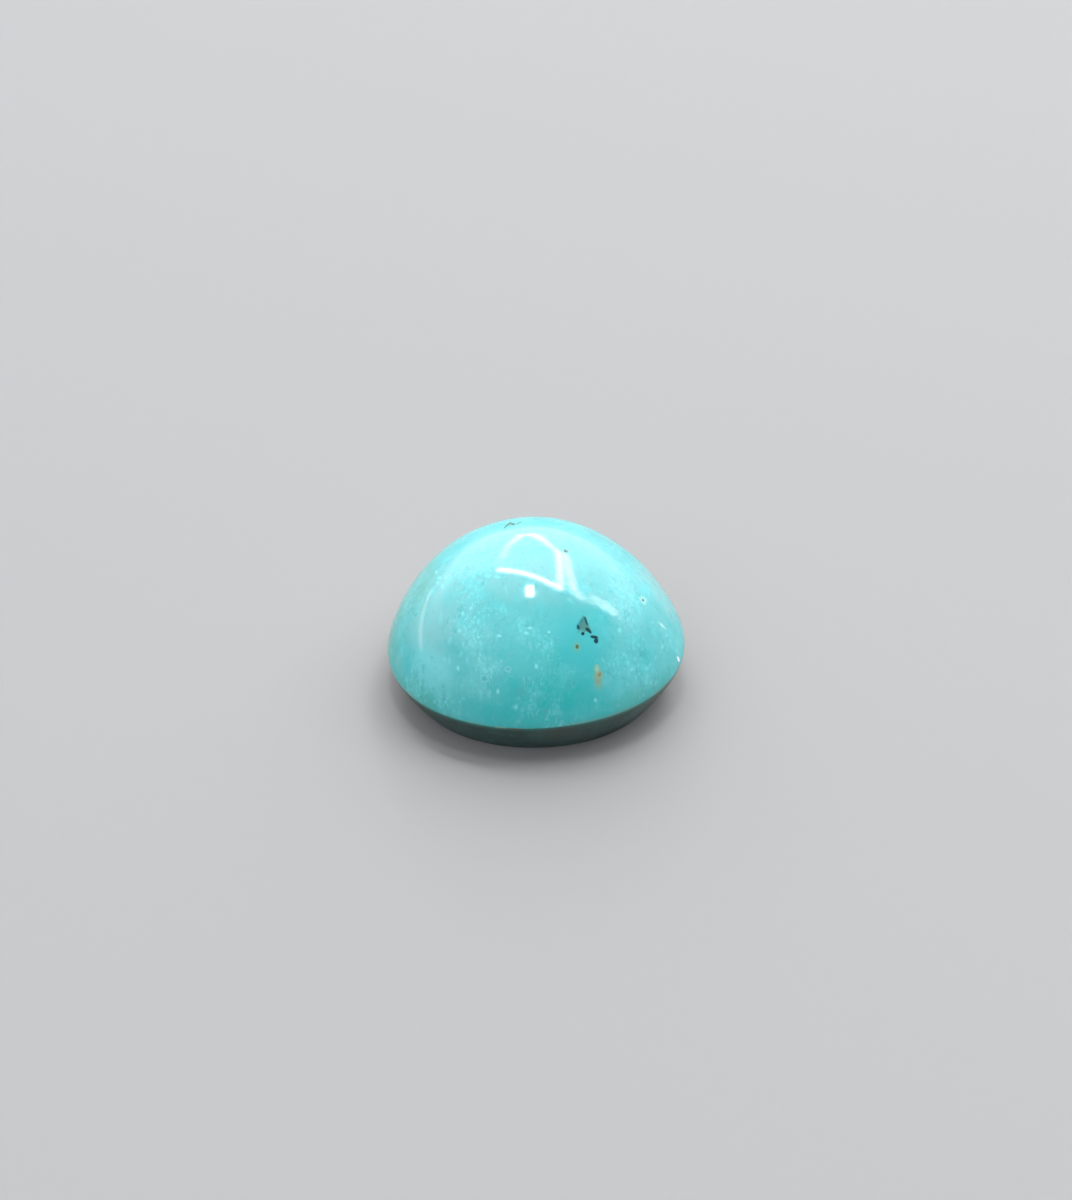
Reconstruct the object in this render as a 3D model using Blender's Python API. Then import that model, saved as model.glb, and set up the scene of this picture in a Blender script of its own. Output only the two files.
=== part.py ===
# Polished turquoise cabochon: one hand-cut stone with a high dome over a narrow rounded girdle,
# and a short back that draws in below the girdle and is ground flat where the stone rests.
# Metres, +Z up. The origin is on the resting face, under the middle of the stone.

import math

import bmesh
import bpy
from mathutils import Matrix, Vector

# Driving dimensions, in metres
GIRDLE_HALF_LENGTH = 0.00696  # middle to girdle along X
GIRDLE_HALF_WIDTH = 0.00653  # middle to girdle along Y
DOME_HEIGHT = 0.00556  # girdle to crown
BACK_HEIGHT = 0.00219  # girdle to resting face

# The dome's profile: 0 gives half an ellipsoid, 1 a paraboloid, and between them the wall
# leans in a little at the girdle and the shoulders fall away sooner.
DOME_SHOULDER = 0.455
CROWN_SHIFT = -0.00019  # the crown stands off the middle, along X

# The back's profile, as shares of the girdle's radius lost by the resting face
BACK_SLANT = 0.123  # straight part of the slope
BACK_CURVE = 0.053  # rounded part of the slope

# Rounding of the girdle's edge: how far it draws the meeting of the two curves in, as a share of
# the girdle's size
GIRDLE_ROUNDING = 0.008

# The plan is a slightly three-cornered oval, as a stone ground by eye comes out.
CORNER_SHARE = 0.024
CORNER_ANGLE = math.radians(92.3)  # direction of the first corner, from +X

# The girdle isn't quite level over the resting face: its +X end stands higher.
GIRDLE_TILT = math.radians(1.8)

# Broad soft flats and swells left by hand polishing: direction round Z from +X and above the
# girdle in degrees, reach as an angle in degrees, and depth in metres (below 0 stands proud).
HAND_FLATS = (
    (-62.0, 40.0, 24.0, 0.00004),
    (-100.0, 66.0, 16.0, -0.00003),
    (205.0, 30.0, 26.0, 0.00003),
    (30.0, 45.0, 20.0, 0.00003),
    (110.0, 38.0, 28.0, 0.00004),
)

# Mesh density
SEGMENTS = 96
DOME_RINGS = 23
BACK_RINGS = 4

TURQUOISE = (0.115, 0.560, 0.590, 1.0)


def girdle_radius(angle, share):
    """Distance from the stone's axis to its side, in metres, on the ring that has this share of
    the girdle's size."""
    corners = 1 + CORNER_SHARE * share * math.cos(3 * (angle - CORNER_ANGLE))
    x = GIRDLE_HALF_LENGTH * math.cos(angle)
    y = GIRDLE_HALF_WIDTH * math.sin(angle)
    return share * corners * math.hypot(x, y)


def ring_share(height):
    """Size of the ring at a height above the girdle, as a share of the girdle's size: the
    smaller of the dome's and the back's own curves, rounded where they meet."""
    rise = height / DOME_HEIGHT
    dome = math.sqrt(max(0.0, 1 - DOME_SHOULDER * rise - (1 - DOME_SHOULDER) * rise * abs(rise)))
    drop = -height / BACK_HEIGHT
    back = 1 - BACK_SLANT * drop - BACK_CURVE * drop * abs(drop)
    meeting = (dome + back - math.hypot(dome - back, 2 * GIRDLE_ROUNDING * dome)) / 2
    return meeting / (1 - GIRDLE_ROUNDING)


def hand_polished(point):
    """The point moved in or out by the flats and swells of hand polishing."""
    reach_out = point.length
    direction = point / reach_out
    depth = 0.0
    for turn, rise, reach, flat_depth in HAND_FLATS:
        level = math.cos(math.radians(rise))
        middle = Vector(
            (
                level * math.cos(math.radians(turn)),
                level * math.sin(math.radians(turn)),
                math.sin(math.radians(rise)),
            )
        )
        away = direction.angle(middle) / math.radians(reach)
        depth += flat_depth * math.exp(-away * away)
    return direction * (reach_out - depth)


def stone_point(angle, height):
    """A point of the side, with the girdle level and the stone's axis along Z."""
    share = ring_share(height)
    slope = math.atan2(
        GIRDLE_HALF_WIDTH * math.sin(angle),
        GIRDLE_HALF_LENGTH * math.cos(angle),
    )
    radius = girdle_radius(angle, share)
    shift = CROWN_SHIFT * max(0.0, height) / DOME_HEIGHT
    return hand_polished(
        Vector((radius * math.cos(slope) + shift, radius * math.sin(slope), height))
    )


def ring_heights():
    """Heights of the rings over the girdle, from below the resting face to just under the
    crown, close together round the girdle's edge."""
    spare = 1.2  # the lowest ring lies below the resting face, which cuts it away
    back = [-BACK_HEIGHT * spare]
    back += [-BACK_HEIGHT * 0.8 * step / BACK_RINGS for step in range(BACK_RINGS, 0, -1)]
    edge = [-0.00013, 0.0, 0.00013]
    quarter = math.pi / 2
    dome = [
        DOME_HEIGHT * math.sin(quarter * step / (DOME_RINGS + 1))
        for step in range(1, DOME_RINGS + 1)
    ]
    return back + edge + dome


def build_stone():
    """The closed stone as one mesh object, standing on its resting face."""
    shape = bmesh.new()
    rings = []
    for height in ring_heights():
        ring = [
            shape.verts.new(stone_point(2 * math.pi * step / SEGMENTS, height))
            for step in range(SEGMENTS)
        ]
        rings.append(ring)
    crown = shape.verts.new(hand_polished(Vector((CROWN_SHIFT, 0.0, DOME_HEIGHT))))

    for lower, upper in zip(rings, rings[1:]):
        for step in range(SEGMENTS):
            after = (step + 1) % SEGMENTS
            shape.faces.new((lower[step], lower[after], upper[after], upper[step]))
    for step in range(SEGMENTS):
        after = (step + 1) % SEGMENTS
        shape.faces.new((rings[-1][step], rings[-1][after], crown))

    # Lean the stone, then grind its back flat.
    bmesh.ops.transform(shape, matrix=Matrix.Rotation(-GIRDLE_TILT, 4, "Y"), verts=shape.verts)
    bmesh.ops.bisect_plane(
        shape,
        geom=shape.verts[:] + shape.edges[:] + shape.faces[:],
        plane_co=(0.0, 0.0, -BACK_HEIGHT),
        plane_no=(0.0, 0.0, -1.0),
        clear_outer=True,
    )
    rim = [edge for edge in shape.edges if edge.is_boundary]
    bmesh.ops.edgeloop_fill(shape, edges=rim)
    bmesh.ops.recalc_face_normals(shape, faces=shape.faces)

    # Bring the middle of the resting stone over the origin.
    low_x = min(vert.co.x for vert in shape.verts)
    high_x = max(vert.co.x for vert in shape.verts)
    low_y = min(vert.co.y for vert in shape.verts)
    high_y = max(vert.co.y for vert in shape.verts)
    middle = Vector((-(low_x + high_x) / 2, -(low_y + high_y) / 2, BACK_HEIGHT))
    bmesh.ops.translate(shape, vec=middle, verts=shape.verts)

    mesh = bpy.data.meshes.new("turquoise_cabochon")
    shape.to_mesh(mesh)
    shape.free()
    mesh.shade_smooth()
    mesh.set_sharp_from_angle(angle=math.radians(35))
    stone = bpy.data.objects.new("turquoise_cabochon", mesh)
    bpy.context.scene.collection.objects.link(stone)
    return stone


def turquoise_material():
    """Polished blue-green stone."""
    material = bpy.data.materials.new("turquoise")
    material.use_nodes = True
    surface = material.node_tree.nodes["Principled BSDF"]
    surface.inputs["Base Color"].default_value = TURQUOISE
    surface.inputs["Roughness"].default_value = 0.12
    surface.inputs["Metallic"].default_value = 0.0
    surface.inputs["IOR"].default_value = 1.61
    return material


for old in list(bpy.data.objects):
    bpy.data.objects.remove(old, do_unlink=True)

cabochon = build_stone()
cabochon.data.materials.append(turquoise_material())
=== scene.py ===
import math

import bpy
import numpy as np
from mathutils import Matrix, Vector, noise


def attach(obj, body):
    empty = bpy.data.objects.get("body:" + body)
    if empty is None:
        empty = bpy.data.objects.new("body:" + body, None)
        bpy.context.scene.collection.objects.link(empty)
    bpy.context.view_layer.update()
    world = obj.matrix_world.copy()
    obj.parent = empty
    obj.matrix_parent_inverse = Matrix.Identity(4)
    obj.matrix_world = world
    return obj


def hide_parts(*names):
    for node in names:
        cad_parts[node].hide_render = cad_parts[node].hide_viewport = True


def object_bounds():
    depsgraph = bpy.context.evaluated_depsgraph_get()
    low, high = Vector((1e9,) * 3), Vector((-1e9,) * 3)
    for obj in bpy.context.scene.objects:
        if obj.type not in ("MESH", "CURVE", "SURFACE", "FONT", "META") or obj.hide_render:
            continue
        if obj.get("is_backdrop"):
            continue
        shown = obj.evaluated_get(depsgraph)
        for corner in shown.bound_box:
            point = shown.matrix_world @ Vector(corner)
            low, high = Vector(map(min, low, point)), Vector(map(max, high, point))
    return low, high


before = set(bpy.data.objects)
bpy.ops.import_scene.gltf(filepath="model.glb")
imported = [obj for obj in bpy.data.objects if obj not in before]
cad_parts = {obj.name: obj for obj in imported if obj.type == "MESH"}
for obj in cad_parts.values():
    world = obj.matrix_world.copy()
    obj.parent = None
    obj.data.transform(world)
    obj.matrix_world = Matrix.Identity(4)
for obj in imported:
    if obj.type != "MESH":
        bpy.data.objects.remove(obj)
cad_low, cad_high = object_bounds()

# The cut stone
# One piece of turquoise, sawn from the rough and ground by eye on a wheel: a high dome, a narrow
# rounded girdle that isn't quite level, and a short back ground flat where the stone rests.
# The sizes are those of the solid that it stands for, in metres.
mm = 0.001
girdle_half_length = 0.00696
girdle_half_width = 0.00653
dome_height = 0.00556
back_height = 0.00219
dome_shoulder = 0.455  # 0 gives half an ellipsoid, 1 a paraboloid
crown_shift = -0.00019  # the crown stands off the middle, along X
back_slant = 0.123  # share of the girdle's size that the back loses in a straight slope
back_curve = 0.053  # share that it loses in a rounded one
girdle_rounding = 0.008  # how far the edge is drawn in, as a share of the girdle's size
corner_share = 0.024  # how three-cornered the oval is
corner_angle = math.radians(92.3)
girdle_tilt = math.radians(1.8)
# Broad soft flats and swells of hand polishing: direction round Z and above the girdle in
# degrees, reach in degrees, depth in metres.
hand_flats = (
    (-62.0, 40.0, 24.0, 0.00004),
    (-100.0, 66.0, 16.0, -0.00003),
    (205.0, 30.0, 26.0, 0.00003),
    (30.0, 45.0, 20.0, 0.00003),
    (110.0, 38.0, 28.0, 0.00004),
)


def ring_share(height):
    """Size of the ring at this height over the girdle, as a share of the girdle's size."""
    rise = height / dome_height
    fall = 1 - dome_shoulder * rise - (1 - dome_shoulder) * rise * np.abs(rise)
    dome = np.sqrt(np.clip(fall, 0, None))
    drop = -height / back_height
    back = 1 - back_slant * drop - back_curve * drop * np.abs(drop)
    meeting = (dome + back - np.hypot(dome - back, 2 * girdle_rounding * dome)) / 2
    return meeting / (1 - girdle_rounding)


def side_points(angle, height):
    """Points of the stone's side before hand polishing, with the girdle level at height 0."""
    share = ring_share(height)
    share = share * (1 + corner_share * share * np.cos(3 * (angle - corner_angle)))
    shift = crown_shift * np.clip(height, 0, None) / dome_height
    return np.stack(
        [
            share * girdle_half_length * np.cos(angle) + shift,
            share * girdle_half_width * np.sin(angle),
            height + 0 * angle,
        ],
        -1,
    )


def hand_polished(points):
    """The points moved in or out by the flats and swells."""
    reach_out = np.linalg.norm(points, axis=-1, keepdims=True)
    direction = points / reach_out
    depth = np.zeros(points.shape[:-1])
    for turn, rise, reach, flat_depth in hand_flats:
        turn, rise = math.radians(turn), math.radians(rise)
        level = math.cos(rise)
        middle = (level * math.cos(turn), level * math.sin(turn), math.sin(rise))
        away = np.arccos(np.clip(direction @ np.array(middle), -1, 1)) / math.radians(reach)
        depth += flat_depth * np.exp(-away * away)
    return points - direction * depth[..., None]


def spread(low, high, count, middle, width, gain):
    """Values from low to high, closer together round the middle: gain times as close there."""
    samples = 4000
    fine = np.linspace(low, high, samples)
    density = 1 + (gain - 1) * np.exp(-(((fine - middle) / width) ** 2))
    total = np.concatenate([[0], np.cumsum((density[1:] + density[:-1]) / 2)])
    return np.interp(np.linspace(0, total[-1], count), total, fine)


# The mesh has columns round the stone and rings up it. Both stand closest over the specks of
# matrix on the front of the dome.
columns = 400
dome_rings = 170
back_rings = 25
specks_turn = math.radians(-62)
specks_turn_width = math.radians(14)
specks_rise = 0.52
specks_rise_width = 0.20
angles = spread(-math.pi, math.pi, columns + 1, specks_turn, specks_turn_width, 4.0)[:-1]
quarter = spread(0.0, math.pi / 2, dome_rings + 2, specks_rise, specks_rise_width, 2.4)
dome_heights = dome_height * np.sin(quarter[1:-1])
back_steps = np.linspace(1.0, 0.0, back_rings + 1)[:-1]
# Heights over the girdle of the rings round its edge. The lowest three belong to the back.
edge_heights = mm * np.array([-0.16, -0.12, -0.09, -0.06, -0.03, 0.0, 0.03])
edge_rings_of_back = 3

# The resting face cuts each column of the leaning back at its own height, found in six rounds,
# and its edge is a little worn.
cut = np.full(columns, -back_height)
for _ in range(6):
    cut_x = side_points(angles, cut)[:, 0]
    cut = (-back_height - cut_x * math.sin(girdle_tilt)) / math.cos(girdle_tilt)
worn_edge = 0.05 * mm
worn_lip = 0.012 * mm
back_low = cut + worn_edge
rings = [side_points(angles, back_low * s + edge_heights[0] * (1 - s)) for s in back_steps]
rings += [side_points(angles, np.full(columns, h)) for h in (*edge_heights, *dome_heights)]
side = hand_polished(np.array(rings))
crown = hand_polished(np.array([[crown_shift, 0.0, dome_height]]))[0]

# Lean the stone, close its foot with rings on the resting face, and set it over the middle of the
# solid that it stands for.
lean = np.array(Matrix.Rotation(-girdle_tilt, 3, "Y"))
side = side @ lean.T
crown = lean @ crown
lowest = side[0]
foot_middle = lowest.mean(0)
foot_steps = (0.004, 0.012, 0.06, 0.25, 0.5, 0.75)
foot = [lowest * (1 - step) + foot_middle * step for step in foot_steps]
for ring in foot:
    ring[:, 2] = -back_height
foot[0][:, 2] += worn_lip
body = np.concatenate([np.array(foot[::-1]), side])
low, high = body.reshape(-1, 3).min(0), body.reshape(-1, 3).max(0)
middle = (np.array(cad_low) + np.array(cad_high)) / 2 - (low + high) / 2
place = np.array([middle[0], middle[1], back_height])
body += place
crown = crown + place
foot_middle = np.array([*(foot_middle + place)[:2], 0.0])

# Bands of faces between the rings, then a fan at the crown and one at the foot's middle.
mesh_points = np.concatenate([body.reshape(-1, 3), [crown, foot_middle]])
along = np.arange(columns)
after = (along + 1) % columns
faces = []
for ring in range(len(body) - 1):
    lower, upper = ring * columns, (ring + 1) * columns
    band = (lower + along, lower + after, upper + after, upper + along)
    faces += np.stack(band, 1).tolist()
top_ring = (len(body) - 1) * columns
crown_index, foot_index = len(body) * columns, len(body) * columns + 1
faces += [(top_ring + a, top_ring + b, crown_index) for a, b in zip(along, after)]
faces += [(b, a, foot_index) for a, b in zip(along, after)]
mesh = bpy.data.meshes.new("turquoise_stone")
mesh.from_pydata(mesh_points.tolist(), [], faces)
mesh.shade_smooth()
mesh.update()
stone = bpy.data.objects.new("turquoise_stone", mesh)
bpy.context.scene.collection.objects.link(stone)
points = np.array([vertex.co for vertex in mesh.vertices])
normals = np.array([vertex.normal for vertex in mesh.vertices])

# Specks of matrix that show in the polished face, most in a shallow pit: place on the stone,
# half width and half height along the surface, turn in degrees and pit depth, in millimetres.
specks = {
    "grey window": ((2.16, -3.77, 6.05), (0.33, 0.36), -14.0, 0.010),
    "window top": ((2.26, -3.67, 6.10), (0.05, 0.21), -4.0, 0.006),
    "window edge": ((2.02, -3.76, 6.12), (0.07, 0.26), -54.0, 0.004),
    "window side": ((1.91, -3.97, 5.98), (0.08, 0.11), 4.0, 0.007),
    "window corner": ((2.38, -3.98, 5.79), (0.08, 0.16), 32.0, 0.008),
    "dark crumb": ((2.11, -4.15, 5.75), (0.085, 0.08), -10.0, 0.008),
    "hook head": ((2.62, -4.14, 5.54), (0.19, 0.07), -26.0, 0.008),
    "hook tail": ((2.72, -4.24, 5.41), (0.105, 0.13), -22.0, 0.008),
    "brown pit": ((1.86, -4.63, 5.38), (0.07, 0.09), -13.0, 0.010),
    "rust spot": ((2.80, -5.27, 4.10), (0.20, 0.50), -5.0, 0.006),
    "rust head": ((2.76, -5.06, 4.44), (0.11, 0.16), -8.0, 0.004),
    "rust core": ((2.87, -5.18, 4.20), (0.13, 0.16), -7.0, 0.014),
    "rust tail": ((2.80, -5.35, 3.97), (0.13, 0.22), -5.0, 0.004),
    "crown vein left": ((-1.34, 1.88, 7.27), (0.36, 0.06), 40.0, 0.008),
    "crown vein bend": ((-1.11, 2.05, 7.24), (0.09, 0.30), 3.0, 0.008),
    "crown vein right": ((-0.79, 2.05, 7.29), (0.05, 0.24), -44.0, 0.008),
    "crown smudge": ((-1.17, 1.98, 7.26), (0.28, 0.34), 0.0, 0.008),
    "crown speck": ((1.39, -0.40, 7.56), (0.12, 0.10), -24.0, 0.010),
    "ring pit": ((4.92, -1.47, 5.51), (0.07, 0.06), -23.0, 0.012),
    "bubble": ((-2.33, -5.43, 4.17), (0.09, 0.08), 20.0, 0.012),
    "small bubble": ((-1.25, -5.38, 4.69), (0.07, 0.06), 0.0, 0.010),
    "far speck": ((-1.90, 5.35, 3.90), (0.13, 0.20), 20.0, 0.03),
    "far crumb": ((-1.30, 5.60, 3.60), (0.10, 0.07), -30.0, 0.03),
    "left crumb": ((-6.05, 1.60, 3.60), (0.09, 0.12), 35.0, 0.03),
    "right patch": ((5.10, 3.40, 3.90), (0.15, 0.34), 12.0, 0.012),
}


def reach_in(u, v, name):
    """How far out a point lies in a speck, 1 on its outline; the window is three-cornered."""
    if name == "grey window":
        return np.maximum(-v, 2 * np.abs(u) + v)
    return np.hypot(u, v)


def surface_frame(place, turn):
    """The point of the stone nearest to a place in millimetres, and its side, up and outward
    directions, turned round the outward one."""
    nearest = np.argmin(((points - np.array(place) * mm) ** 2).sum(1))
    outward = Vector(normals[nearest])
    up = (Vector((0, 0, 1)) - outward * outward.z).normalized()
    tilt = Matrix.Rotation(math.radians(turn), 3, outward)
    return points[nearest], tilt @ up.cross(outward).normalized(), tilt @ up, outward


def lie_of(place, half, turn, depth=0.4):
    """How a small patch lies on the surface: its side, up and outward directions, each over its
    half size in millimetres."""
    _, across, up, outward = surface_frame(place, turn)
    return {"Across": across / half[0], "Up": up / half[1], "Out": outward / depth}


# Press the pits into the face, with ragged rims and rough floors, over the faint ripple that
# polishing leaves on the dome. The noises have this many waves to a millimetre.
rim_start = 1.12  # as a share of the speck's half size, like the next two
rim_width = 0.45
rim_raggedness = 0.45
rim_waves = 7.0
floor_roughness = 0.35
ripple_height = 0.0035 * mm
ripple_waves = 0.55
ripple_start = 0.3 * mm
lies = {name: lie_of(place, half, turn) for name, (place, half, turn, _) in specks.items()}
sink = np.zeros(len(points))
for name, (where, half, turn, depth) in specks.items():
    centre, across, up, outward = surface_frame(where, turn)
    offset = (points - centre) / mm
    ahead = normals @ np.array(outward) > 0
    reach = reach_in(offset @ np.array(across) / half[0], offset @ np.array(up) / half[1], name)
    close = np.where(ahead & (reach < rim_start + rim_raggedness))[0]
    rough = np.array([noise.noise(Vector(points[i] / mm) * rim_waves) for i in close])
    edge = np.clip((rim_start + rim_raggedness * rough - reach[close]) / rim_width, 0, 1)
    deep = depth * mm * (1 + floor_roughness * rough)
    sink[close] = np.maximum(sink[close], deep * edge * edge * (3 - 2 * edge))
ripple = np.array([noise.noise(Vector(point) / mm * ripple_waves) for point in points])
on_dome = points[:, 2] > back_height + ripple_start
points -= normals * (sink - ripple_height * ripple * on_dome)[:, None]
mesh.vertices.foreach_set("co", points.astype(np.float32).ravel())
mesh.update()


# The polished face
# Sky-blue turquoise with milky clouds, pale flecks drawn out along the stone's fabric and a few
# specks of brown and black matrix, polished on felt to a glassy gloss.
def node(tree, kind, inputs=None, **settings):
    """A node with its settings made and its inputs set or linked."""
    made = tree.nodes.new(kind)
    for name, value in settings.items():
        setattr(made, name, value)
    for name, value in (inputs or {}).items():
        if isinstance(value, bpy.types.NodeSocket):
            tree.links.new(value, made.inputs[name])
        else:
            made.inputs[name].default_value = value
    return made


def maths(tree, operation, a, b=0.0, c=0.0):
    """One sum on numbers."""
    return node(tree, "ShaderNodeMath", {0: a, 1: b, 2: c}, operation=operation).outputs[0]


def vector_maths(tree, operation, a, b):
    """One sum on vectors, or the scaling of one by a number."""
    second = "Scale" if operation == "SCALE" else 1
    result = "Value" if operation == "DOT_PRODUCT" else "Vector"
    made = node(tree, "ShaderNodeVectorMath", {0: a, second: b}, operation=operation)
    return made.outputs[result]


def step_up(tree, value, low, high, top=1.0):
    """0 below low and top above high, with a soft step between."""
    inputs = {"Value": value, "From Min": low, "From Max": high, "To Min": 0.0, "To Max": top}
    return node(tree, "ShaderNodeMapRange", inputs, interpolation_type="SMOOTHSTEP").outputs[0]


def blend(tree, share, below, above):
    """The colour above laid on the colour below."""
    inputs = {0: share, 6: below, 7: above}
    return node(tree, "ShaderNodeMix", inputs, data_type="RGBA").outputs[2]


def new_group(name, inputs, outputs):
    """An empty group with its named sockets, and its input and output nodes."""
    group = bpy.data.node_groups.new(name, "ShaderNodeTree")
    for label, (kind, value) in inputs.items():
        socket = group.interface.new_socket(label, in_out="INPUT", socket_type=kind)
        if value is not None:
            socket.default_value = value
    for label, kind in outputs.items():
        group.interface.new_socket(label, in_out="OUTPUT", socket_type=kind)
    return group, group.nodes.new("NodeGroupInput"), group.nodes.new("NodeGroupOutput")


def placed(tree, group, inputs):
    """A shared effect placed in a material with this material's values."""
    return node(tree, "ShaderNodeGroup", inputs, node_tree=group).outputs[0]


def grain(tree, position, scale, detail, roughness=0.5):
    """Cloudy noise round 0.5; scale in features per millimetre."""
    inputs = {"Vector": position, "Scale": scale, "Detail": detail, "Roughness": roughness}
    return node(tree, "ShaderNodeTexNoise", inputs).outputs


def shifted(tree, position, noise_colour, reach):
    """The position moved about by a noise, by up to half the reach."""
    push = vector_maths(tree, "SUBTRACT", noise_colour, (0.5, 0.5, 0.5))
    push = vector_maths(tree, "SCALE", push, reach)
    return vector_maths(tree, "ADD", position, push)


def in_sizes(tree, position, size, turn=(0.0, 0.0, 0.0)):
    """The position turned, and counted in sizes."""
    inputs = {"Vector": position, "Rotation": turn, "Scale": size}
    return node(tree, "ShaderNodeMapping", inputs, vector_type="TEXTURE").outputs[0]


# Milky clouding of the stone, which runs through the face and the back alike: broad clouds,
# mottling, and wisps drawn out along the stone's leaning fabric.
fabric_lean = math.radians(-28)
broad_share = 0.40
mottle_share = 0.33
wisp_share = 0.27
clouding, given, result = new_group(
    "turquoise clouding",
    {
        "Position": ("NodeSocketVector", None),
        "Deep": ("NodeSocketColor", (0.040, 0.425, 0.450, 1)),
        "Body": ("NodeSocketColor", (0.070, 0.455, 0.478, 1)),
        "Pale": ("NodeSocketColor", (0.120, 0.480, 0.503, 1)),
    },
    {"Color": "NodeSocketColor"},
)
at = given.outputs["Position"]
bent = shifted(clouding, at, grain(clouding, at, 0.30, 2.0)["Color"], 2.4)
broad = grain(clouding, bent, 0.24, 3.0)["Fac"]
mottle = grain(clouding, bent, 0.95, 5.0, 0.60)["Fac"]
drawn = in_sizes(clouding, bent, (1.0, 1.0, 2.4), (fabric_lean, 0.0, 0.0))
wisps = grain(clouding, drawn, 2.2, 5.0, 0.6)["Fac"]
cloud = maths(clouding, "MULTIPLY", mottle, mottle_share)
cloud = maths(clouding, "MULTIPLY_ADD", broad, broad_share, cloud)
cloud = maths(clouding, "MULTIPLY_ADD", wisps, wisp_share, cloud)
middling = step_up(clouding, cloud, 0.40, 0.52)
milky = step_up(clouding, cloud, 0.49, 0.66)
shade = blend(clouding, middling, given.outputs["Deep"], given.outputs["Body"])
shade = blend(clouding, milky, shade, given.outputs["Pale"])
clouding.links.new(shade, result.inputs["Color"])

# A patch or speck at one place of the stone, round or three-cornered, ragged or soft.
patch, given, result = new_group(
    "patch in the stone",
    {
        "Position": ("NodeSocketVector", None),
        "Centre": ("NodeSocketVector", None),
        "Across": ("NodeSocketVector", (1, 0, 0)),
        "Up": ("NodeSocketVector", (0, 1, 0)),
        "Out": ("NodeSocketVector", (0, 0, 1)),
        "Softness": ("NodeSocketFloat", 0.3),
        "Raggedness": ("NodeSocketFloat", 0.4),
        "Rough": ("NodeSocketFloat", 0.5),
        "Corners": ("NodeSocketFloat", 0.0),
    },
    {"Mask": "NodeSocketFloat"},
)
away = vector_maths(patch, "SUBTRACT", given.outputs["Position"], given.outputs["Centre"])
across, up, out = [
    vector_maths(patch, "DOT_PRODUCT", away, given.outputs[way]) for way in ("Across", "Up", "Out")
]
round_reach = maths(patch, "MULTIPLY", across, across)
round_reach = maths(patch, "MULTIPLY_ADD", up, up, round_reach)
round_reach = maths(patch, "SQRT", maths(patch, "MULTIPLY_ADD", out, out, round_reach))
sides = maths(patch, "MULTIPLY_ADD", maths(patch, "ABSOLUTE", across), 2.0, up)
sides = maths(patch, "MAXIMUM", sides, maths(patch, "MULTIPLY", up, -1.0))
sides = maths(patch, "MAXIMUM", sides, maths(patch, "ABSOLUTE", out))
reaches = {0: given.outputs["Corners"], 2: round_reach, 3: sides}
reach = node(patch, "ShaderNodeMix", reaches).outputs[0]
swing = maths(patch, "SUBTRACT", given.outputs["Rough"], 0.5)
most_swing = maths(patch, "MULTIPLY", given.outputs["Raggedness"], 2.0)
reach = maths(patch, "ADD", reach, maths(patch, "MULTIPLY", swing, most_swing))
inner = maths(patch, "SUBTRACT", 1.0, given.outputs["Softness"])
outer = maths(patch, "ADD", 1.0, given.outputs["Softness"])
mask = maths(patch, "SUBTRACT", 1.0, step_up(patch, reach, inner, outer))
patch.links.new(mask, result.inputs["Mask"])

# Feathery pale flecks scattered through the stone, drawn out along its fabric.
flecks, given, result = new_group(
    "pale flecks",
    {
        "Position": ("NodeSocketVector", None),
        "Size": ("NodeSocketVector", (0.15, 0.15, 0.3)),
        "Least": ("NodeSocketFloat", 0.58),
        "Softness": ("NodeSocketFloat", 0.1),
        "Plenty": ("NodeSocketFloat", 0.5),
    },
    {"Mask": "NodeSocketFloat"},
)
fleck_turn = (fabric_lean, math.radians(4), 0.0)
at = given.outputs["Position"]
local = in_sizes(flecks, at, given.outputs["Size"], fleck_turn)
local = shifted(flecks, local, grain(flecks, local, 0.5, 2.0)["Color"], 1.6)
score = grain(flecks, local, 0.8, 4.0, 0.62)["Fac"]
plenty_weight = 0.13
over_half = maths(flecks, "SUBTRACT", given.outputs["Plenty"], 0.5)
score = maths(flecks, "MULTIPLY_ADD", over_half, plenty_weight, score)
most = maths(flecks, "ADD", given.outputs["Least"], given.outputs["Softness"])
flecks.links.new(step_up(flecks, score, given.outputs["Least"], most), result.inputs["Mask"])


def stone_material(name):
    """A new material: the material, its nodes, its shader, the place on the stone in
    millimetres, and the noise that makes the outlines of small patches ragged."""
    material = bpy.data.materials.new(name)
    material.use_nodes = True
    inside = material.node_tree
    metres = node(inside, "ShaderNodeTexCoord").outputs["Object"]
    place_mm = vector_maths(inside, "SCALE", metres, 1 / mm)
    ragged = grain(inside, place_mm, 6.0, 3.0, 0.6)["Fac"]
    return material, inside, inside.nodes["Principled BSDF"], place_mm, ragged


face, tree, surface, position, fine_edge = stone_material("polished turquoise")
broad_edge = grain(tree, position, 0.7, 3.0)["Fac"]
colour = placed(tree, clouding, {"Position": position})


def zone(centre, half, strength, softness=0.7, raggedness=0.7):
    """Mask of one broad zone of the face, with half sizes along X, Y and Z in millimetres."""
    inputs = {
        "Position": position,
        "Centre": centre,
        "Across": (1 / half[0], 0, 0),
        "Up": (0, 1 / half[1], 0),
        "Out": (0, 0, 1 / half[2]),
        "Softness": softness,
        "Raggedness": raggedness,
        "Rough": broad_edge,
    }
    return maths(tree, "MULTIPLY", placed(tree, patch, inputs), strength)


def spot(centre, lie, strength, softness=0.25, raggedness=0.45, corners=0.0, growth=1.0):
    """Mask of one small patch that lies on the surface, grown by a factor, in the material
    that is being made."""
    inputs = {
        "Position": position,
        "Centre": centre,
        "Across": lie["Across"] / growth,
        "Up": lie["Up"] / growth,
        "Out": lie["Out"],
        "Softness": softness,
        "Raggedness": raggedness,
        "Rough": fine_edge,
        "Corners": corners,
    }
    return maths(tree, "MULTIPLY", placed(tree, patch, inputs), strength)


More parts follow.
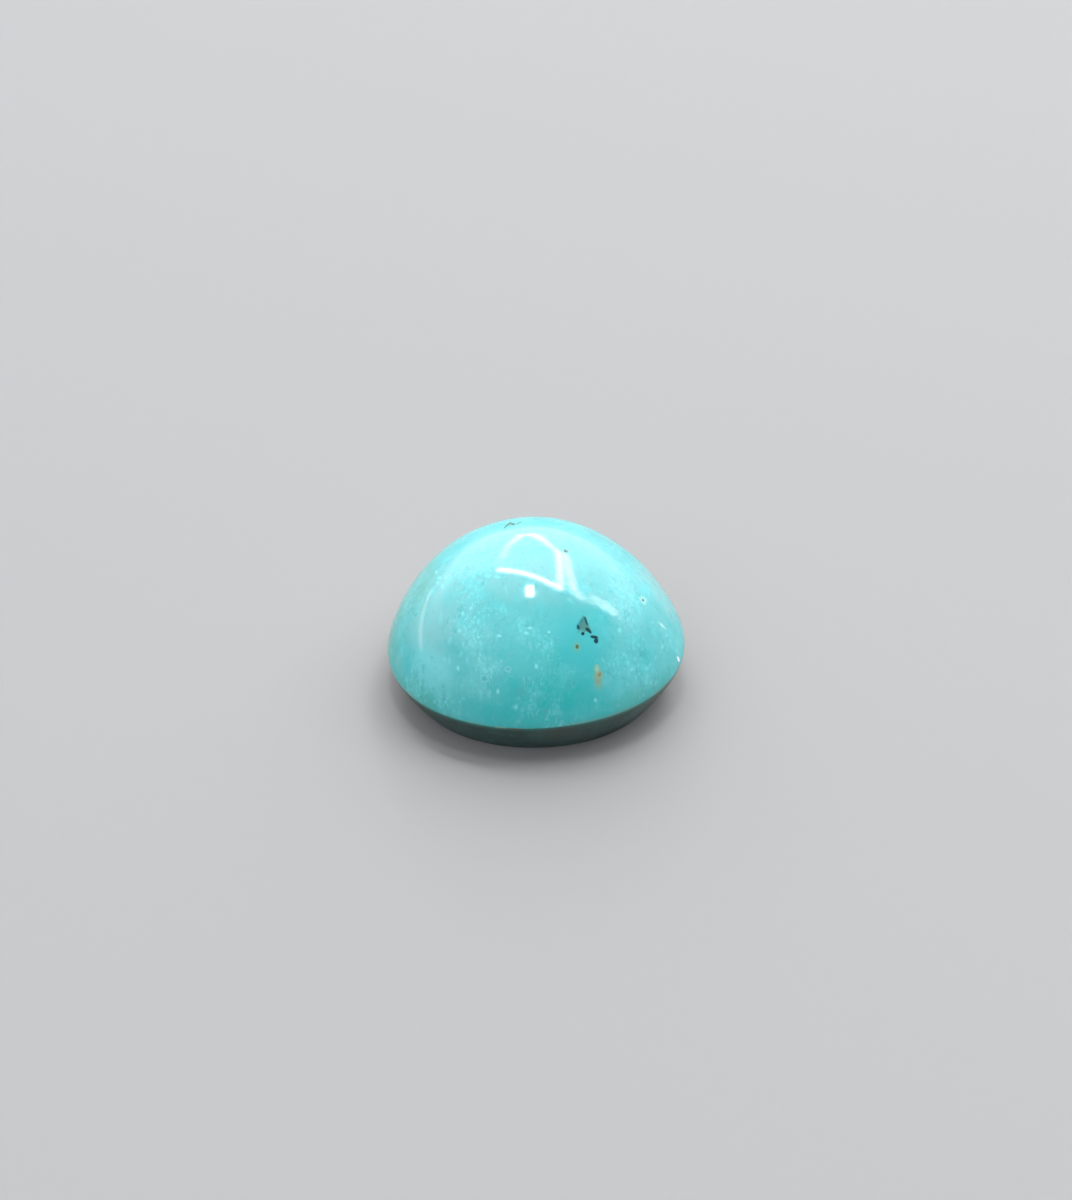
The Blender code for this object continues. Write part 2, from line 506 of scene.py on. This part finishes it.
# Broad zones: milky on the left and by the crown, deep blue right of the middle, paler on the
# right, and a green tinge at the sides; painted shade over the brightly lit crown and on the
# teal low in front, and a painted sheen along the right limb.
milk = (0.165, 0.460, 0.482, 1)
deep_blue = (0.052, 0.440, 0.475, 1)
# Painted shade: a darker teal low in front, where the face turns down away from the light.
painted_low_shade = (0.004, 0.425, 0.435, 1)
pale_right = (0.138, 0.475, 0.505, 1)
green_tinge = (0.028, 0.350, 0.310, 1)
pale_green = (0.110, 0.375, 0.335, 1)
# Painted shade: greyer and less saturated, to tone down the brightly lit crown.
crown_painted_shade = (0.135, 0.410, 0.425, 1)
# Painted reflection: a pale sheen along the right limb.
painted_right_sheen = (0.210, 0.450, 0.465, 1)
bright_low = (0.125, 0.540, 0.575, 1)
# Each zone is laid over those before it: centre, half sizes, strength, softness and colour.
zones = (
    # Painted shade over the brightly lit crown.
    ((0.0, -1.0, 7.2), (6.2, 2.5, 2.6), 0.70, 0.7, crown_painted_shade),
    # Painted sheen along the right limb.
    ((5.6, 0.3, 5.0), (1.1, 1.6, 1.6), 0.75, 0.5, painted_right_sheen),
    ((-4.7, -2.8, 5.5), (1.6, 2.1, 1.9), 0.85, 0.7, milk),
    ((-4.9, -4.3, 3.6), (1.3, 1.2, 0.9), 0.80, 0.5, bright_low),
    ((4.3, -4.7, 3.6), (1.7, 1.0, 0.9), 0.60, 0.7, bright_low),
    ((-0.9, -1.9, 7.4), (2.3, 1.2, 0.9), 0.80, 0.7, milk),
    ((1.7, -4.6, 5.3), (2.3, 1.2, 1.3), 0.85, 0.6, deep_blue),
    ((4.6, -2.4, 5.4), (1.6, 2.4, 2.4), 0.70, 0.7, pale_right),
    # Painted shade low in front, in two zones.
    ((0.0, -6.9, 2.9), (5.4, 1.6, 1.2), 0.80, 0.6, painted_low_shade),
    ((0.1, -5.4, 4.7), (2.0, 1.0, 1.0), 0.50, 0.7, painted_low_shade),
    ((-7.0, -1.2, 3.3), (0.8, 3.2, 2.2), 0.85, 0.7, green_tinge),
    ((-5.5, 0.1, 5.1), (1.0, 1.7, 1.1), 0.70, 0.7, pale_green),
    ((-5.4, -4.5, 2.3), (1.7, 1.7, 0.6), 0.75, 0.7, green_tinge),
    ((5.2, -4.8, 2.5), (1.8, 1.6, 0.6), 0.50, 0.7, green_tinge),
)
for centre, half, strength, softness, tint in zones:
    colour = blend(tree, zone(centre, half, strength, softness), colour, tint)

# Pale flecks: thick in the clouded parts, in front on the left and on the right, and few in the
# deep blue one.
plenty = step_up(tree, grain(tree, position, 0.55, 3.0)["Fac"], 0.36, 0.64)
few = zone((2.1, -3.7, 6.0), (1.4, 1.2, 1.2), 0.55)
few = maths(tree, "MAXIMUM", few, zone((0.6, -5.4, 4.6), (1.7, 1.0, 1.2), 0.30))
many = zone((-2.2, -5.0, 4.9), (2.4, 1.9, 1.7), 0.28)
many = maths(tree, "MAXIMUM", many, zone((4.2, -4.5, 3.8), (1.8, 1.4, 1.3), 0.35))
many = maths(tree, "MAXIMUM", many, zone((3.9, -1.6, 6.3), (1.7, 1.3, 1.3), 0.50))
plenty = maths(tree, "ADD", maths(tree, "SUBTRACT", plenty, few), many)
mottle_colour = (0.095, 0.540, 0.570, 1)
fleck_colour = (0.170, 0.635, 0.670, 1)
shade_colour = (0.050, 0.350, 0.372, 1)
# From the broadest layer to the finest: size in millimetres, least score that shows, softness,
# strength and colour.
fleck_layers = (
    ((0.26, 0.26, 0.38), 0.50, 0.24, 0.70, shade_colour),
    ((0.50, 0.50, 0.70), 0.48, 0.26, 0.60, mottle_colour),
    ((0.15, 0.15, 0.21), 0.55, 0.28, 0.68, fleck_colour),
    ((0.07, 0.07, 0.36), 0.57, 0.24, 0.65, fleck_colour),
    ((0.09, 0.09, 0.13), 0.60, 0.18, 0.65, fleck_colour),
)
for size, least, softness, strength, tint in fleck_layers:
    inputs = {"Position": position, "Size": size, "Least": least, "Softness": softness}
    inputs["Plenty"] = plenty
    mask = maths(tree, "MULTIPLY", placed(tree, flecks, inputs), strength)
    colour = blend(tree, mask, colour, tint)

# The flecks that stand out, and fainter streaks: place and half sizes in millimetres, and turn in
# degrees.
bright_flecks = (
    ((-1.67, -4.37, 5.81), (0.15, 0.10), 9.0),
    ((-0.45, -4.39, 5.98), (0.13, 0.10), 1.0),
    ((-3.47, -3.75, 5.55), (0.13, 0.11), 8.0),
    ((-3.52, -4.85, 4.30), (0.10, 0.15), 14.0),
    ((4.33, -4.49, 3.92), (0.18, 0.11), -25.0),
    ((5.03, -4.07, 3.63), (0.12, 0.11), -39.0),
    ((5.79, -2.82, 3.83), (0.15, 0.10), 33.0),
    ((2.69, -5.78, 3.18), (0.10, 0.12), 3.0),
    ((-4.61, -0.08, 6.06), (0.20, 0.08), 16.0),
    ((-4.43, -0.70, 6.20), (0.24, 0.11), 39.0),
    ((-4.14, -0.91, 6.40), (0.19, 0.10), 10.0),
    ((-4.52, -0.94, 6.10), (0.19, 0.10), 13.0),
    ((-4.27, -1.37, 6.22), (0.18, 0.10), -5.0),
    ((-2.19, -1.78, 7.21), (0.18, 0.13), 11.0),
    ((-1.78, -1.97, 7.28), (0.20, 0.11), 24.0),
    ((-1.72, -5.83, 3.77), (0.09, 0.15), 3.0),
    ((-0.91, -6.22, 3.15), (0.10, 0.17), 1.0),
    ((3.80, -3.50, 5.39), (0.12, 0.20), -36.0),
    ((3.16, -2.83, 6.22), (0.28, 0.16), -22.0),
    ((3.46, -2.84, 6.05), (0.20, 0.12), -23.0),
    ((-2.95, -3.05, 6.34), (0.09, 0.15), 41.0),
    ((-3.32, -3.14, 6.09), (0.09, 0.15), 44.0),
    ((-0.27, -4.23, 6.14), (0.18, 0.07), 0.0),
    ((0.59, -4.33, 5.99), (0.09, 0.08), -3.0),
    ((0.02, -5.37, 4.83), (0.10, 0.13), -1.0),
)
faint_streaks = (
    ((4.14, -4.97, 3.39), (0.08, 0.15), -40.0),
    ((-1.35, -2.66, 7.11), (0.05, 0.27), 30.0),
    ((-1.39, -3.49, 6.61), (0.06, 0.24), 35.0),
    ((-1.57, -3.40, 6.63), (0.06, 0.17), -1.0),
    ((-2.11, -5.82, 3.58), (0.09, 0.17), 13.0),
    ((-4.13, -4.35, 4.41), (0.10, 0.17), 36.0),
    ((-3.93, -4.48, 4.43), (0.08, 0.22), 15.0),
    ((-3.40, -4.49, 4.85), (0.08, 0.16), 2.0),
    ((-3.10, -4.77, 4.71), (0.08, 0.17), 8.0),
    ((-2.33, -5.21, 4.55), (0.07, 0.20), 4.0),
    ((-4.34, -2.80, 5.58), (0.12, 0.29), 36.0),
    ((-3.91, -3.86, 5.12), (0.10, 0.17), 12.0),
    ((1.54, -3.03, 6.76), (0.09, 0.21), 28.0),
    ((-0.25, -4.79, 5.58), (0.06, 0.19), 19.0),
)
# Strength, softness, and how far the half sizes are drawn in to leave room for the soft edge.
mark_groups = (
    (bright_flecks, 0.85, 0.6, 0.72),
    (faint_streaks, 0.36, 0.8, 0.85),
)
standing_out = 0.0
for marks, strength, softness, share in mark_groups:
    for place, half, turn in marks:
        half = (half[0] * share, half[1] * share)
        mask = spot(place, lie_of(place, half, turn), strength, softness, 1.0)
        standing_out = maths(tree, "MAXIMUM", standing_out, mask)
colour = blend(tree, standing_out, colour, fleck_colour)

# A short white streak on the right, and a small white patch at the edge under it.
streak = (5.81, -1.90, 4.36)
streak_colour = (0.36, 0.68, 0.70, 1)
mask = spot(streak, lie_of(streak, (0.08, 0.27), 15.0), 0.85, 0.6, 0.9)
colour = blend(tree, mask, colour, streak_colour)
white_edge_patch = (6.58, -2.36, 2.71)
white_edge_colour = (0.75, 0.85, 0.85, 1)
mask = spot(white_edge_patch, lie_of(white_edge_patch, (0.09, 0.16), 10.0), 0.9, 0.3)
colour = blend(tree, mask, colour, white_edge_colour)

# Stains round the specks of matrix: name, colour, strength, growth over the speck's own size,
# softness and raggedness.
stains = (
    ("ring pit", (0.29, 0.60, 0.57, 1), 0.8, 3.2, 0.4, 0.9),
    ("bubble", (0.15, 0.54, 0.58, 1), 0.7, 2.3, 0.25, 0.6),
    ("bubble", (0.05, 0.40, 0.44, 1), 1.0, 1.5, 0.3, 0.5),
    ("small bubble", (0.15, 0.54, 0.58, 1), 0.7, 2.3, 0.25, 0.6),
    ("small bubble", (0.05, 0.40, 0.44, 1), 1.0, 1.4, 0.3, 0.5),
    ("rust spot", (0.15, 0.38, 0.29, 1), 0.85, 1.0, 0.55, 0.5),
    ("rust tail", (0.24, 0.34, 0.24, 1), 0.7, 1.1, 0.6, 0.5),
    ("rust head", (0.29, 0.52, 0.38, 1), 0.85, 1.0, 0.6, 0.6),
    ("rust core", (0.30, 0.37, 0.22, 1), 0.85, 1.1, 0.5, 0.6),
    ("rust core", (0.17, 0.18, 0.09, 1), 0.7, 0.55, 0.7, 0.9),
    ("brown pit", (0.15, 0.38, 0.26, 1), 0.75, 2.3, 0.6, 0.6),
    ("crown smudge", (0.06, 0.28, 0.24, 1), 0.75, 1.0, 0.6, 1.0),
    ("grey window", (0.060, 0.205, 0.190, 1), 0.93, 1.02, 0.25, 0.5),
    ("window edge", (0.020, 0.180, 0.190, 1), 0.75, 1.0, 0.6, 0.6),
    ("right patch", (0.19, 0.36, 0.25, 1), 0.85, 1.15, 0.5, 0.5),
    ("right patch", (0.16, 0.17, 0.08, 1), 0.85, 0.6, 0.4, 0.6),
)
# Dark stone on the pits' floors.
pit_strength = 0.97
vein_green = (0.018, 0.140, 0.120, 1)
slate = (0.0, 0.070, 0.083, 1)
brown = (0.060, 0.130, 0.050, 1)
near_black = (0.0, 0.028, 0.036, 1)
pits = (
    (("crown vein left", "crown vein bend", "crown vein right"), vein_green),
    (("window top", "window side", "crown speck", "ring pit"), slate),
    (("brown pit", "left crumb", "far speck"), brown),
    (("window corner", "dark crumb", "hook head", "hook tail", "far crumb"), near_black),
)
for name, tint, strength, growth, softness, raggedness in stains:
    corners = 1.0 if name == "grey window" else 0.0
    mask = spot(specks[name][0], lies[name], strength, softness, raggedness, corners, growth)
    colour = blend(tree, mask, colour, tint)
dull = 0.0
for names, tint in pits:
    dark = 0.0
    for name in names:
        mask = spot(specks[name][0], lies[name], pit_strength)
        dark = maths(tree, "MAXIMUM", dark, mask)
    colour = blend(tree, dark, colour, tint)
    dull = maths(tree, "MAXIMUM", dull, dark)


def over_girdle(tree, position):
    """Height over the leaning girdle in millimetres."""
    parts = node(tree, "ShaderNodeSeparateXYZ", {0: position}).outputs
    height = maths(tree, "MULTIPLY_ADD", parts["X"], -math.sin(girdle_tilt), parts["Z"])
    return maths(tree, "SUBTRACT", height, back_height / mm)


# A thin broken line of weathered beige stone is left along the girdle.
girdle_beige = (0.20, 0.38, 0.32, 1)
off_line = maths(tree, "ABSOLUTE", over_girdle(tree, position))
line = maths(tree, "SUBTRACT", 1.0, step_up(tree, off_line, 0.03, 0.09))
broken = step_up(tree, grain(tree, position, 0.8, 3.0)["Fac"], 0.44, 0.62, 0.5)
colour = blend(tree, maths(tree, "MULTIPLY", line, broken), colour, girdle_beige)

# Polishing leaves the hard stone faintly uneven, most in a worn patch above the grey window, and
# the pits a little duller.
polish_unevenness = 0.0016 * mm
polished_roughness = 0.11
pit_roughness = 0.17
turquoise_ior = 1.61
waves = grain(tree, position, 2.4, 3.0)["Fac"]
fine_waves = grain(tree, position, 5.0, 2.0)["Fac"]
worn = maths(tree, "ADD", zone((3.2, -2.75, 6.25), (0.9, 0.5, 0.5), 7.0, 0.6, 0.9), 0.8)
waves = maths(tree, "MULTIPLY_ADD", worn, fine_waves, waves)
bump = node(tree, "ShaderNodeBump", {"Height": waves, "Distance": polish_unevenness})
roughness = maths(tree, "MULTIPLY_ADD", dull, pit_roughness - polished_roughness, polished_roughness)
tree.links.new(bump.outputs[0], surface.inputs["Normal"])
tree.links.new(roughness, surface.inputs["Roughness"])
tree.links.new(colour, surface.inputs["Base Color"])
surface.inputs["IOR"].default_value = turquoise_ior
surface.inputs["Subsurface Weight"].default_value = 0.15
surface.inputs["Subsurface Radius"].default_value = (0.5, 1.0, 1.0)
surface.inputs["Subsurface Scale"].default_value = 0.4 * mm
mesh.materials.append(face)

# The ground back
# Below the girdle the stone is left from the grinding wheel: duller, greyer and greener, with
# faint wheel marks round it and thin brown skins of its host rock, and darkened with painted
# shade of the shadowed underside.
back, tree, surface, position, fine_edge = stone_material("ground back")
back_fleck_colour = (0.08, 0.16, 0.145, 1)
rim_green = (0.015, 0.190, 0.150, 1)
skin_brown = (0.045, 0.055, 0.040, 1)
wheel_mark_depth = 0.004 * mm
# Dark grey-green: the ground stone's greyer tone, darkened with painted shade of the shadowed
# underside.
colour = placed(
    tree,
    clouding,
    {
        "Position": position,
        "Deep": (0.010, 0.045, 0.040, 1),
        "Body": (0.020, 0.068, 0.060, 1),
        "Pale": (0.042, 0.105, 0.094, 1),
    },
)
inputs = {"Position": position, "Size": (0.25, 0.25, 0.25), "Least": 0.56, "Softness": 0.12}
mask = maths(tree, "MULTIPLY", placed(tree, flecks, inputs), 0.35)
colour = blend(tree, mask, colour, back_fleck_colour)
# A lighter green band under the girdle's edge, above the painted shade of the underside.
green_rim = step_up(tree, over_girdle(tree, position), -0.34, -0.06, 0.8)
colour = blend(tree, green_rim, colour, rim_green)
skin = step_up(tree, grain(tree, position, 0.45, 5.0, 0.6)["Fac"], 0.58, 0.70, 0.6)
colour = blend(tree, skin, colour, skin_brown)
# Stains under the girdle: place and half sizes in millimetres, and colour.
rim_stains = (
    ((-1.62, -6.36, 2.16), (0.30, 0.15), (0.34, 0.36, 0.17, 1)),
    ((-0.95, -6.43, 2.12), (0.38, 0.14), (0.10, 0.08, 0.04, 1)),
    ((3.90, 4.90, 1.60), (0.70, 0.25), (0.16, 0.13, 0.07, 1)),
)
for place, half, tint in rim_stains:
    mask = spot(place, lie_of(place, half, 0.0), 0.9, 0.4, 0.9)
    colour = blend(tree, mask, colour, tint)
along_wheel = in_sizes(tree, position, (2.0, 2.0, 0.06))
wheel_marks = grain(tree, along_wheel, 1.0, 3.0)["Fac"]
bump = node(tree, "ShaderNodeBump", {"Height": wheel_marks, "Distance": wheel_mark_depth})
tree.links.new(bump.outputs[0], surface.inputs["Normal"])
tree.links.new(colour, surface.inputs["Base Color"])
surface.inputs["Roughness"].default_value = 0.40
surface.inputs["IOR"].default_value = turquoise_ior
mesh.materials.append(back)

# The back has the bands below the girdle's edge, and the last fan, at the foot.
back_bands = len(foot) + len(back_steps) + edge_rings_of_back
slots = np.zeros(len(mesh.polygons), np.int32)
slots[: back_bands * columns] = 1
slots[-columns:] = 1
mesh.polygons.foreach_set("material_index", slots)

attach(stone, "root")
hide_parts("turquoise_cabochon")

# The studio floor
# A plain pale sheet of matt paper, 6 metres each way, that the stone rests on.
floor_half = 3.0
floor_corners = ((-1, -1), (1, -1), (1, 1), (-1, 1))
paper_colour = (0.25, 0.25, 0.252, 1)
floor_mesh = bpy.data.meshes.new("studio_floor")
floor_mesh.from_pydata(
    [(x * floor_half, y * floor_half, 0.0) for x, y in floor_corners],
    [],
    [(0, 1, 2, 3)],
)
studio_floor = bpy.data.objects.new("studio_floor", floor_mesh)
bpy.context.scene.collection.objects.link(studio_floor)
paper = bpy.data.materials.new("pale paper")
paper.use_nodes = True
surface = paper.node_tree.nodes["Principled BSDF"]
surface.inputs["Base Color"].default_value = paper_colour
surface.inputs["Roughness"].default_value = 0.8
floor_mesh.materials.append(paper)
studio_floor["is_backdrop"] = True

# The studio lights
# A wide soft ceiling behind the stone, with thin bright frames and one small square lamp in it,
# which the polished dome mirrors.
ceiling = 0.6


def flat_lamp(name, width, length, radiance):
    """A rectangular lamp that the camera doesn't see, with the same glow at any size."""
    lamp = bpy.data.lights.new(name, "AREA")
    lamp.shape = "RECTANGLE"
    lamp.size, lamp.size_y = width, length
    lamp.energy = radiance * math.pi * lamp.size * lamp.size_y
    hung = bpy.data.objects.new(name, lamp)
    hung.visible_camera = False
    bpy.context.scene.collection.objects.link(hung)
    return hung


def ceiling_light(name, middle, size, turn, radiance, gap=0.0):
    """A lamp in the ceiling, facing down; middle and size as shares of the ceiling's height."""
    hung = flat_lamp(name, size[0] * ceiling, size[1] * ceiling, radiance)
    hung.location = (middle[0] * ceiling, middle[1] * ceiling, ceiling + gap)
    hung.rotation_euler = (0.0, 0.0, turn)
    return hung


def strip_light(name, start, end, width, radiance):
    """A thin tube of light in the ceiling from start to end."""
    run = Vector(end) - Vector(start)
    middle = (Vector(start) + Vector(end)) / 2
    size = (run.length + width, width)
    return ceiling_light(name, middle, size, math.atan2(run.y, run.x), radiance)


# The soft ceiling hangs just over the strips. It fades in along a bent line near the front ones,
# more slowly toward its sides, and fades out at its sides. The line's two parts are given by how
# far they run back for each share to the right, and where they start straight behind the stone.
left_run = -0.56
left_start = 0.24
right_run = 0.12
right_start = -0.10
furthest_back = 1.2
least_softness = 0.10
side_softness = 0.45
softness_start = -0.20
outer_end = 4.4
fade_width = 2.6
above_strips = 0.01
soft_middle = (0.0, 3.7)
soft_size = (9.0, 8.0)
soft = ceiling_light("soft_ceiling", soft_middle, soft_size, 0.0, 1.40, above_strips)
soft.data.use_nodes = True
tree = soft.data.node_tree
glow = tree.nodes["Emission"]
over_lamp = node(tree, "ShaderNodeNewGeometry").outputs["Parametric"]
across = node(tree, "ShaderNodeSeparateXYZ", {0: over_lamp}).outputs
left_end = soft_middle[0] - soft_size[0] / 2
front_end = soft_middle[1] - soft_size[1] / 2
share_x = maths(tree, "MULTIPLY_ADD", across["X"], soft_size[0], left_end)
share_y = maths(tree, "MULTIPLY_ADD", across["Y"], soft_size[1], front_end)
left_edge = maths(tree, "MULTIPLY_ADD", share_x, left_run, left_start)
right_edge = maths(tree, "MULTIPLY_ADD", share_x, right_run, right_start)
bent_edge = maths(tree, "MAXIMUM", left_edge, right_edge)
front_edge = maths(tree, "MINIMUM", bent_edge, furthest_back)
sideways = maths(tree, "ABSOLUTE", share_x)
softness = maths(tree, "MULTIPLY_ADD", sideways, side_softness, softness_start)
softness = maths(tree, "MAXIMUM", softness, least_softness)
behind_edge = maths(tree, "SUBTRACT", share_y, front_edge)
fade_in = step_up(tree, maths(tree, "DIVIDE", behind_edge, softness), -1.0, 1.0)
fade_out = step_up(tree, maths(tree, "SUBTRACT", outer_end, sideways), 0.0, fade_width)
tree.links.new(maths(tree, "MULTIPLY", fade_in, fade_out), glow.inputs["Strength"])
# A weaker panel hangs in front of the stone, and a small square lamp almost over it.
ceiling_light("front_ceiling", (-0.55, -1.4), (2.0, 2.0), 0.0, 0.42, above_strips)
ceiling_light("square_lamp", (-0.01, -0.055), (0.09, 0.18), 0.0, 38.0)

# The frame's far end is an arch, and a second frame bends round its right side: name, start, end,
# width and radiance of each strip.
arch = ((0.335, 1.06), (0.253, 1.28), (0.162, 1.70), (0.050, 2.24), (-0.060, 2.50), (-0.174, 2.45))
arch_widths = (0.11, 0.14, 0.19, 0.27, 0.30)
arch_radiance = 6.0
strips = (
    ("frame_front", (-0.435, 0.50), (0.335, 0.055), 0.07, 17.5),
    ("frame_right", (0.345, 0.07), arch[0], 0.08, 10.5),
    *(
        (f"frame_arch_{count + 1}", arch[count], arch[count + 1], width, arch_radiance)
        for count, width in enumerate(arch_widths)
    ),
    ("frame_far_left", arch[-1], (-0.352, 1.53), 0.16, 5.0),
    ("frame_left", (-0.352, 1.53), (-0.400, 0.90), 0.14, 3.0),
    ("second_left", (0.440, 1.00), (0.455, 0.40), 0.10, 7.0),
    ("second_bend", (0.455, 0.40), (0.500, 0.13), 0.10, 8.0),
    ("second_corner", (0.500, 0.13), (0.590, 0.01), 0.10, 7.0),
    ("second_front", (0.610, 0.00), (0.790, -0.01), 0.09, 2.4),
    ("second_far", (0.850, 0.06), (1.420, 0.10), 0.24, 5.0),
)
for strip in strips:
    strip_light(*strip)

# A weak low strip stands on the left, facing the stone, whose left side mirrors it as a thin arc.
low_start = Vector((-0.765, 0.62, 0.150))
low_end = Vector((-0.992, 0.10, 0.072))
low_middle = (low_start + low_end) / 2
low_run = (low_end - low_start).normalized()
low_back = (low_middle - low_run * low_middle.dot(low_run)).normalized()
low_side = low_back.cross(low_run)
low_strip = flat_lamp("low_strip", 0.62, 0.055, 2.0)
low_turn = Matrix((low_run, low_side, low_back)).transposed().to_4x4()
low_strip.matrix_world = Matrix.Translation(low_middle) @ low_turn

# Pale walls of the room: brightest behind the stone and on its left.
wall_everywhere = 0.32
wall_behind = 0.85
wall_on_left = 0.68
wall_colour = (0.95, 0.97, 1.0, 1)
world = bpy.data.worlds.new("studio")
world.use_nodes = True
tree = world.node_tree
bearing = node(tree, "ShaderNodeTexCoord").outputs["Generated"]
behind = vector_maths(tree, "DOT_PRODUCT", bearing, (0.0, 1.0, 0.0))
leftward = vector_maths(tree, "DOT_PRODUCT", bearing, (-0.75, -0.40, 0.53))
wall = step_up(tree, behind, 0.0, 0.9, wall_behind)
wall = maths(tree, "ADD", wall, step_up(tree, leftward, 0.1, 1.0, wall_on_left))
background = tree.nodes["Background"]
tree.links.new(maths(tree, "ADD", wall, wall_everywhere), background.inputs["Strength"])
background.inputs["Color"].default_value = wall_colour
bpy.context.scene.world = world
bpy.context.scene.view_settings.view_transform = "Standard"

# The camera
# It looks down at the stone from the front, a hand's length away. The lens is in millimetres.
camera_distance = 0.130
camera_rise = math.radians(40)
camera_pitch = math.radians(39.206)
aim = Vector((0.0, 0.0, 0.0020))
camera_data = bpy.data.cameras.new("camera")
camera_data.sensor_width = 36.0
camera_data.lens = 82.66
camera_data.clip_start = 0.01
camera = bpy.data.objects.new("camera", camera_data)
toward_camera = Vector((0.0, -math.cos(camera_rise), math.sin(camera_rise)))
camera.location = aim + camera_distance * toward_camera
camera.rotation_euler = (math.pi / 2 - camera_pitch, 0.0, 0.0)
bpy.context.scene.collection.objects.link(camera)
bpy.context.scene.camera = camera

# The bounds of the shown objects, leaving out the floor
low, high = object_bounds()
